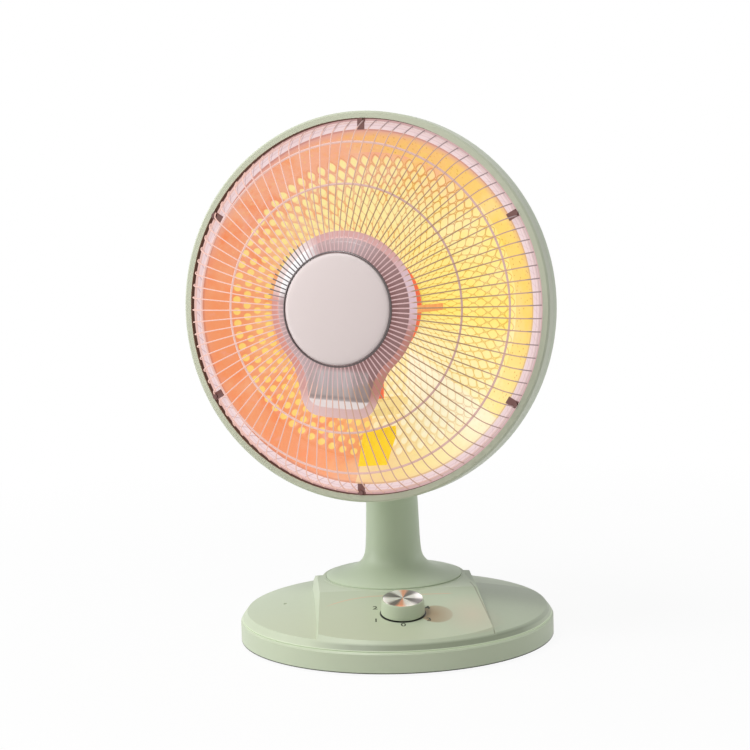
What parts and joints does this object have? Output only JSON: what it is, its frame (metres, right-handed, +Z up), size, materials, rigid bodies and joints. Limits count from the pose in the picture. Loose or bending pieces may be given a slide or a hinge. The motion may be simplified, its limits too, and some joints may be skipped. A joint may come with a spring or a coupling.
{
  "type": "tubular heater",
  "caption": "Desktop dish heater on a round base, with a swinging neck, tilting head, wire guard and rotary switch.",
  "frame": {"origin": "middle of the round base, at floor level, on the contact face of the tip-over plunger", "axes": "+Z up, front of the base towards -Y, +X to the right of someone who faces the base"},
  "size_m": [0.3013, 0.2632, 0.44],
  "materials": {
    "sage_plastic": "satin, lightly grained",
    "sage_paint": "satin powder coat",
    "steel_plate": "dark coated steel",
    "rubber": "matt",
    "cast_iron": "raw casting",
    "zinc_steel": "zinc plated",
    "black_plastic": "moulded",
    "white_plastic": "moulded",
    "spun_metal": "radially spun",
    "chrome_wire": "bright plated wire",
    "reflector": "embossed bright sheet",
    "mirror_sheet": "polished sheet",
    "cap_paint": "champagne satin",
    "quartz": "clear quartz, glowing orange",
    "filament": "glowing carbon strand",
    "ceramic": "white fired",
    "tag_yellow": "plain yellow card"
  },
  "bodies": {
    "base": {"base_shell": "sage_plastic", "base_plate": "steel_plate", "rubber_feet": "rubber", "plate_screws": "zinc_steel", "counterweight": "cast_iron", "cord_bush": "black_plastic", "terminal_block": "white_plastic", "swing_motor": "zinc_steel", "motor_screws": "zinc_steel", "turntable_bush": "white_plastic", "rotary_switch": "black_plastic", "switch_nut": "zinc_steel", "tip_switch": "black_plastic"},
    "knob": {"knob": "sage_plastic", "knob_cap": "spun_metal", "switch_shaft": "white_plastic"},
    "crank": {"swing_crank": "white_plastic"},
    "plunger": {"tip_plunger": "black_plastic"},
    "neck": {"neck_column": "sage_plastic", "swing_arm": "zinc_steel", "turntable_nut": "zinc_steel", "tilt_fork": "sage_plastic", "tilt_bolt": "zinc_steel", "tilt_nut": "zinc_steel"},
    "head": {"rear_shell": "sage_paint", "tilt_lug": "sage_plastic", "lug_screws": "zinc_steel", "front_ring": "sage_paint", "reflector_dish": "reflector", "centre_plate": "zinc_steel", "dish_spacer": "zinc_steel", "thermal_cutout": "black_plastic", "heating_tube": "quartz", "heating_filament": "filament", "tube_caps": "ceramic", "lamp_holder": "zinc_steel", "pear_shield": "mirror_sheet", "shield_legs": "zinc_steel", "guard_wires": "chrome_wire", "guard_rings": "chrome_wire", "guard_rim": "chrome_wire", "guard_cap": "cap_paint", "cap_rim": "chrome_wire", "cap_clamp": "zinc_steel", "guard_clips": "zinc_steel", "clip_screws": "zinc_steel", "guard_tag": "tag_yellow"}
  },
  "joints": [
    {"name": "neck_swing", "type": "hinge", "parent": "base", "child": "neck", "pos_m": [0, 0.03, 0.0419], "axis": [0, 0, 1], "range_deg": [-12.05, 60.95]},
    {"name": "crank_turn", "type": "hinge", "parent": "base", "child": "crank", "pos_m": [0.03, 0.03, 0.0274], "axis": [0, 0, 1], "range_deg": [-33.51, 167.49]},
    {"name": "head_tilt", "type": "hinge", "parent": "neck", "child": "head", "pos_m": [0.00497, 0.04092, 0.168], "axis": [0.9103, -0.4139, 0], "range_deg": [-16, 9]},
    {"name": "knob_turn", "type": "hinge", "parent": "base", "child": "knob", "pos_m": [0, -0.0735, 0.03616], "axis": [0, -0.183, 0.9831], "range_deg": [-73, 173]},
    {"name": "plunger_travel", "type": "slide", "parent": "base", "child": "plunger", "axis": [0, 0, 1], "range_m": [-0.004, 0.001], "stiffness_N_per_m": 150, "springref_m": -0.009}
  ],
  "couplings": [
    {"joint": "crank_turn", "follows": "neck_swing", "ratio": 2.7397}
  ]
}
